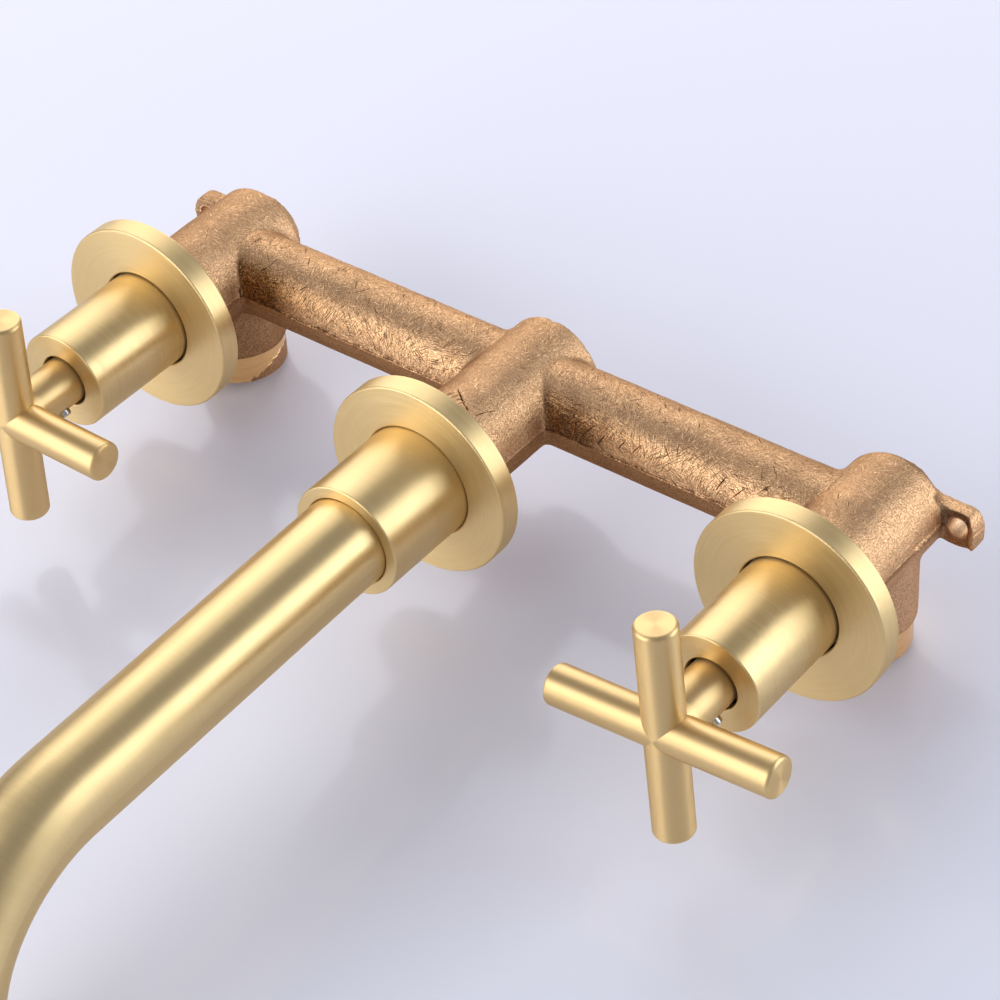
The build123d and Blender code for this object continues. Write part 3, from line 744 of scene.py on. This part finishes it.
def on_pipe(x, angle):
    """The skin of the pipe: a place's x and its angle from the top towards the front."""
    sine = math.sin(math.radians(angle))
    cosine = math.cos(math.radians(angle))
    return Vector((x, PIPE_RADIUS * sine, PIPE_RADIUS * cosine)), Vector((0, sine, cosine))


def groove(shape, skin, surface, start, end, width, depth):
    """Adds a V shaped cutter that follows the skin from start to end, shallow at both ends."""
    rows = []
    steps = 7
    start = np.array(start, dtype=float)
    end = np.array(end, dtype=float)
    for step in range(steps + 1):
        share = step / steps
        place, normal = surface(*(start + (end - start) * share))
        onward, _ = surface(*(start + (end - start) * (share + 0.01)))
        across = normal.cross(onward - place).normalized()
        place = skin.find_nearest(place)[0]
        size = math.sin(math.pi * (0.1 + 0.8 * share))
        keel = place - normal * depth * size
        spread = width / 2 * (size + CUT_LIFT / depth)
        left = place + normal * CUT_LIFT - across * spread
        right = place + normal * CUT_LIFT + across * spread
        rows.append([shape.verts.new(point) for point in (left, right, keel)])
    for row, after in zip(rows, rows[1:]):
        for corner in range(3):
            following = (corner + 1) % 3
            shape.faces.new((row[corner], row[following], after[following], after[corner]))
    shape.faces.new(rows[0])
    shape.faces.new(rows[-1])


# The marks that stand out most, as start and end on the skin, their width and their depth
CENTRE_BOSS_MARKS = (
    ((24.3, -12), (28.8, 12), 0.58, 0.36),
    ((27.8, -18), (25.6, -11), 0.46, 0.30),
    ((28.4, -9), (25.8, -4), 0.46, 0.30),
    ((28.9, -3), (26.8, 2), 0.50, 0.32),
    ((29.3, 4), (26.8, 8), 0.46, 0.30),
    ((28.5, 12), (29.3, 18), 0.54, 0.36),
    ((29.2, 27), (26.2, 31), 0.34, 0.26),
    ((26.2, 31), (23.4, 37), 0.30, 0.22),
)
PIPE_MARKS = (
    ((17.4, 57), (21.3, 82), 0.30, 0.24),
    ((25.3, 79), (28.6, 55), 0.34, 0.24),
    ((30.2, 81), (31.8, 64), 0.55, 0.36),
    ((36.2, 75), (38.0, 59), 0.40, 0.28),
    ((40.3, 73), (42.4, 57), 0.36, 0.26),
    ((65.6, 73), (67.5, 50), 0.42, 0.30),
    ((70.2, 75), (73.2, 55), 0.36, 0.26),
    ((-82.6, 46), (-80.6, 33), 0.30, 0.24),
    ((-53.4, 22), (-50.0, 3), 0.30, 0.22),
    ((-69.0, 49), (-66.9, 38), 0.34, 0.24),
)


def search_tree(mesh):
    corners = [Vector(point) for point in get_points(mesh)]
    return BVHTree.FromPolygons(corners, [tuple(face.vertices) for face in mesh.polygons])


def depth_below(skin, points):
    """How far each point lies from the skin as it was before it was cut."""
    return np.array([skin.find_nearest(Vector(point))[3] for point in points])


def file_marks(skin):
    """The deeper marks of the hand finish: those that stand out most, and others strewn between them."""
    draw = random.Random(7)
    shape = bmesh.new()
    for start, end, width, depth in CENTRE_BOSS_MARKS:
        groove(shape, skin, on_boss(0), start, end, width, depth)
    for start, end, width, depth in PIPE_MARKS:
        groove(shape, skin, on_pipe, start, end, width, depth)
    for side in (-1, 1):
        for _ in range(46):
            x = side * draw.uniform(17, SIDE_X - 17)
            angle = draw.uniform(-50, 80)
            slant = draw.choice((-1, 1)) * draw.uniform(0.8, 3.0)
            end = (x + slant, angle - draw.uniform(4, 20))
            groove(shape, skin, on_pipe, (x, angle), end, draw.uniform(0.16, 0.32), draw.uniform(0.10, 0.20))
    for centre, front in ((-SIDE_X, 24), (0, 34), (SIDE_X, 24)):
        for _ in range(9):
            start = (draw.uniform(-9, front - 4), draw.uniform(-60, 70))
            end = (start[0] + draw.uniform(1.0, 3.4), start[1] + draw.uniform(-10, 10))
            groove(shape, skin, on_boss(centre), start, end, draw.uniform(0.14, 0.24), 0.14)
    points = np.array([point.co for point in shape.verts])
    for point, place in zip(shape.verts, to_world(points)):
        point.co = place
    return shape


def cut(mesh, shape, name):
    """The mesh with the closed shapes taken out."""
    bmesh.ops.recalc_face_normals(shape, faces=shape.faces)
    cutter_mesh = bpy.data.meshes.new(name)
    shape.to_mesh(cutter_mesh)
    shape.free()
    cutter = mesh_object(name, cutter_mesh)
    thing = mesh_object("blank", mesh)
    taken = thing.modifiers.new("cut", "BOOLEAN")
    taken.operation = "DIFFERENCE"
    taken.solver = "MANIFOLD"
    taken.object = cutter
    result = applied(thing)
    bpy.data.objects.remove(cutter)
    bpy.data.meshes.remove(cutter_mesh)
    return result


def tidied(mesh):
    """The mesh without the scraps of its cuts: points close together, or that only divide an edge."""
    shape = bmesh.new()
    shape.from_mesh(mesh)
    bmesh.ops.remove_doubles(shape, verts=shape.verts, dist=SCRAP_SIZE * MM)
    dividing = [point for point in shape.verts if len(point.link_edges) == 2]
    bmesh.ops.dissolve_verts(shape, verts=dividing)
    shape.to_mesh(mesh)
    shape.free()
    return mesh


def body_hollows():
    shape = bmesh.new()
    cylinder(shape, (0, 0), (CENTRE_CAVITY_BACK, CENTRE_BOSS_FRONT + 2), radius=CAVITY_RADIUS)
    for side in (-1, 1):
        x = side * SIDE_X
        cylinder(shape, (x, 0), (SEAT_AHEAD, SIDE_BOSS_FRONT + 2), radius=CAVITY_RADIUS)
        cylinder(shape, (side * EAR_HOLE_X, 0), (EAR_BACK - 1, EAR_FACE + 3), radius=EAR_HOLE_RADIUS - 0.3, segments=48)
    return shape


def inlet_hollows():
    shape = bmesh.new()
    for side in (-1, 1):
        x = side * SIDE_X
        cylinder(shape, (x, 0), z_ends=(BAND_TOP - 12, BAND_TOP), radius=BAND_RADIUS + 4)
    return shape


def liner_hollows():
    shape = bmesh.new()
    for side in (-1, 1):
        cylinder(shape, (side * SIDE_X, 0), z_ends=(BAND_TOP - 1, LINER_TOP), radius=LINER_RADIUS)
    return shape


def channel_hollows():
    """The water's ways up from the inlets, and the spout's way back from its bore."""
    shape = bmesh.new()
    cylinder(shape, (0, 0), (0, CENTRE_CAVITY_BACK + 0.5), radius=CENTRE_WAY_RADIUS)
    for side in (-1, 1):
        cylinder(shape, (side * SIDE_X, CHANNEL_AHEAD), z_ends=(LINER_TOP - 1, CHANNEL_TOP), radius=CHANNEL_RADIUS)
    return shape


def seat_hollows():
    """The holes from the inlets' channels to the valves' seats."""
    shape = bmesh.new()
    for side in (-1, 1):
        cylinder(shape, (side * SIDE_X, 0), (CHANNEL_AHEAD, SEAT_AHEAD + 0.5), radius=SEAT_HOLE_RADIUS)
    return shape


def pipe_hollow():
    shape = bmesh.new()
    cylinder(shape, (0, 0), x_ends=(-PIPE_BORE_END, PIPE_BORE_END), radius=PIPE_BORE_RADIUS)
    return shape


def port_hollows():
    """The ways from the valves into the pipe."""
    shape = bmesh.new()
    cylinder(shape, (PORT_AHEAD, 0), x_ends=(PIPE_BORE_END - 1, SIDE_X), radius=PORT_RADIUS)
    cylinder(shape, (PORT_AHEAD, 0), x_ends=(-SIDE_X, 1 - PIPE_BORE_END), radius=PORT_RADIUS)
    return shape


def smooth(mesh, angle=35):
    mesh.shade_smooth()
    mesh.set_sharp_from_angle(angle=math.radians(angle))


def keep(name, mesh, material, body, slot, *nodes):
    thing = mesh_object(name, mesh)
    mesh.materials.clear()
    mesh.materials.append(material)
    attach(thing, body)
    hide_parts(*nodes)
    return thing


def make_cast_body(material):
    mesh = even_skin()
    carve_skin(mesh)
    skin = search_tree(mesh)
    marks = file_marks(skin)
    for name, shape in (("bores", body_hollows()), ("inlets", inlet_hollows()), ("liners", liner_hollows()),
                        ("channels", channel_hollows()), ("seats", seat_hollows()), ("pipe", pipe_hollow()),
                        ("ports", port_hollows()), ("marks", marks)):
        mesh = cut(mesh, shape, name)
    mesh = tidied(mesh)
    points = get_points(mesh)
    x, ahead, z = points.T
    from_hole = np.hypot(np.abs(x) - EAR_HOLE_X, z)
    in_hole = (from_hole < EAR_HOLE_RADIUS + 0.05) & (ahead < EAR_FACE + 3)
    ragged = 0.45 * lumps(points, 1.3, 11)
    pocket = (x > SIDE_X + 11.5) * (1 - rise(x - EAR_HOLE_X + ragged, 2.9, 3.6)) * rise(z, -1.2, -0.2)
    pocket *= rise(ahead - EAR_FACE + ragged, -0.5, -0.2) * (ahead < EAR_FACE + 1.3)
    set_attribute(mesh, "skin", skin_places(points))
    parting = np.where(np.abs(x) - EAR_HOLE_X + ragged > 3.4, 5.0, from_parting(points))
    set_attribute(mesh, "parting", parting)
    for attribute, values in zip(("filed", "dull_and_shade", "crease_shade", "lit_low_right"), finish_and_shade(points)):
        set_attribute(mesh, attribute, values)
    set_attribute(mesh, "machined", in_hole.astype(float))
    depth = depth_below(skin, points)
    in_groove = rise(depth, 0.02, 0.10) * (depth < 0.45)
    # Painted shade in the upper half of the right ear's pocket; the file marks' grooves are made darker.
    set_attribute(mesh, "pocket_shade_and_dark_grooves", np.maximum(0.8 * pocket * (1 - in_hole), 0.85 * in_groove))
    smooth(mesh)
    return keep("cast_body", mesh, material, "root", "cast_brass", "valve_body")


def make_inlet_band(name, x, material, raw_side):
    """The machined end of an inlet, with its inside thread. raw_side is how much of the crescent stays rough."""
    segments = 256
    angles = np.arange(segments) * 2 * math.pi / segments
    rings = []
    raws = []
    outside = np.linspace(INLET_LOW + BAND_CHAMFER, BAND_TOP, 24)
    azimuth = np.degrees(angles)
    crescent = rise(azimuth, 20, 110) * (1 - rise(azimuth, 190, 260))
    raw_top = INLET_LOW - 1 + 6.6 * crescent
    for z in outside:
        ring = np.stack((BAND_RADIUS * np.sin(angles), BAND_RADIUS * np.cos(angles), np.full(segments, z)), axis=1)
        ragged = 0.9 * lumps(ring, 1.6, 10) + 0.5 * lumps(ring, 0.7, 12)
        raw = raw_side * rise(raw_top - z + ragged, -0.25, 0.25)
        grain = lumps(ring, 0.9, 9)
        radius = BAND_RADIUS + raw * (0.22 + 0.10 * grain)
        rings.append((radius, np.full(segments, z)))
        raws.append(raw)
    plain = np.zeros(segments)
    rings.append((plain + LINER_RADIUS, plain + BAND_TOP))
    rings.append((plain + LINER_RADIUS, plain + LINER_TOP))
    inside = np.linspace(LINER_TOP, INLET_LOW + 1.0, 96)
    for z in inside:
        turn = (z / THREAD_PITCH + angles / (2 * math.pi)) % 1.0
        tooth = np.clip(np.abs(2 * turn - 1) * 1.25 - 0.12, 0, 1)
        rings.append((THREAD_RADIUS + THREAD_DEPTH * tooth, plain + z))
    rings.append((plain + THREAD_RADIUS + 1.4, plain + INLET_LOW))
    rings.append((plain + BAND_RADIUS - BAND_CHAMFER, plain + INLET_LOW))
    raws += [plain] * (len(rings) - len(raws))
    points = []
    for radius, z in rings:
        points.append(np.stack((x + radius * np.sin(angles), radius * np.cos(angles), z), axis=1))
    faces = []
    count = len(rings)
    for ring in range(count):
        after = (ring + 1) % count
        for step in range(segments):
            onward = (step + 1) % segments
            faces.append((ring * segments + step, after * segments + step,
                          after * segments + onward, ring * segments + onward))
    mesh = bpy.data.meshes.new(name)
    mesh.from_pydata([(0, 0, 0)] * (count * segments), [], faces)
    set_points(mesh, np.concatenate(points))
    set_attribute(mesh, "raw", np.concatenate(raws))
    shape = bmesh.new()
    shape.from_mesh(mesh)
    bmesh.ops.recalc_face_normals(shape, faces=shape.faces)
    shape.to_mesh(mesh)
    shape.free()
    smooth(mesh, 40)
    return keep(name, mesh, material, "root", "cast_brass", "valve_body")


# Surroundings

def make_floor():
    """A pale sheet that the inlets' back edges and the spout's tip rest on."""
    low_back = Vector((0, (BAND_RADIUS - PIPE_SETBACK) * MM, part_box("valve_body")[0].z))
    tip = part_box("spout_tube")[0]
    slope = (tip.z - low_back.z) / ((tip.y + SPOUT_RADIUS * MM) - low_back.y)
    mesh = bpy.data.meshes.new("floor")
    corners = []
    for side, end in ((-1, -1), (1, -1), (1, 1), (-1, 1)):
        x = side * FLOOR_HALF
        y = end * FLOOR_HALF
        corners.append((x, y, low_back.z + (y - low_back.y) * slope - FLOOR_GAP * MM))
    mesh.from_pydata(corners, [], [(0, 1, 2, 3)])
    floor = mesh_object("floor", mesh)
    material, nodes = new_material("floor")
    place = nodes.add("ShaderNodeTexCoord").outputs["Object"]
    # Painted light: the floor is paler and bluer towards the front right, where more light falls, and darker behind.
    ahead = nodes.measure("DOT_PRODUCT", place, (0.35, -0.94, 0))
    tone = nodes.mix(nodes.ramp(ahead, -0.15, 0.35), colour(0.82, 0.82, 0.94), colour(0.87, 0.895, 1.0))
    nodes.finish(Base_Color=tone, Roughness=0.13, IOR=1.45)
    mesh.materials.append(material)


def make_world():
    world = bpy.data.worlds.new("studio")
    bpy.context.scene.world = world
    world.use_nodes = True
    nodes = Nodes(world.node_tree)
    background = nodes.add("ShaderNodeBackground", {"Color": colour(0.87, 0.88, 0.98), "Strength": 0.40})
    nodes.add("ShaderNodeOutputWorld", {"Surface": background.outputs[0]})


def dress(node, material):
    thing = frame["nodes"][node]
    thing.data.materials.clear()
    thing.data.materials.append(material)


make_camera()
make_floor()
make_world()
softbox("softbox_back_left", -137, 30, 1.3, 1.15, 1.3, 9.6)
softbox("softbox_right", 124, 18, 1.3, 1.0, 1.05, 10.0, (0.90, 0.95, 1.0))
softbox("softbox_front", -30, 13, 1.3, 1.55, 1.3, 16.3)

by_slot = {
    "machined_brass": grained("machined_brass", (0.78, 0.56, 0.27), 1.0, 0.25),
    "stainless": grained("stainless", (0.62, 0.61, 0.60), 1.0, 0.18),
    "black_rubber": grained("black_rubber", (0.025, 0.025, 0.025), 0.0, 0.6),
    "fibre": grained("fibre", (0.45, 0.10, 0.06), 0.0, 0.8, contrast=0.35),
    "ceramic": grained("ceramic", (0.80, 0.79, 0.75), 0.0, 0.15),
    "white_plastic": grained("white_plastic", (0.75, 0.75, 0.73), 0.0, 0.4),
}
for row in frame["record"]["subparts"]:
    if row["material_slot"] in by_slot:
        dress(row["node"], by_slot[row["material_slot"]])

for part, x, sleeve_lines in (("hot", -SIDE_X, 0.9), ("spout", 0, 0.35), ("cold", SIDE_X, 0.9)):
    flange_gold = brushed_gold(f"brushed_gold_{part}_flange", outlet_axis(x), 0.65,
                               roughness=0.47, anisotropic=0.50)
    dress(f"{part}_flange", flange_gold)
    sleeve_gold = brushed_gold(f"brushed_gold_{part}_sleeve", outlet_axis(x), sleeve_lines,
                               roughness=0.42, anisotropic=0.68)
    dress(f"{part}_sleeve", sleeve_gold)
for side, x, lean in (("hot", -SIDE_X, HOT_LEAN), ("cold", SIDE_X, COLD_LEAN)):
    handle_gold = brushed_gold(f"brushed_gold_{side}_handle", handle_axis(x, lean), 0.25,
                               (HANDLE_GOLD_DEEP, HANDLE_GOLD), roughness=0.46, anisotropic=0.66)
    dress(f"{side}_handle", handle_gold)
dress("spout_tube", brushed_gold("brushed_gold_spout", spout_axis, 0.25))

make_cast_body(cast_bronze())
band = machined_band()
make_inlet_band("hot_inlet_band", -SIDE_X, band, 1.0)
make_inlet_band("cold_inlet_band", SIDE_X, band, 0.0)

scene = bpy.context.scene
scene.view_settings.view_transform = "Standard"
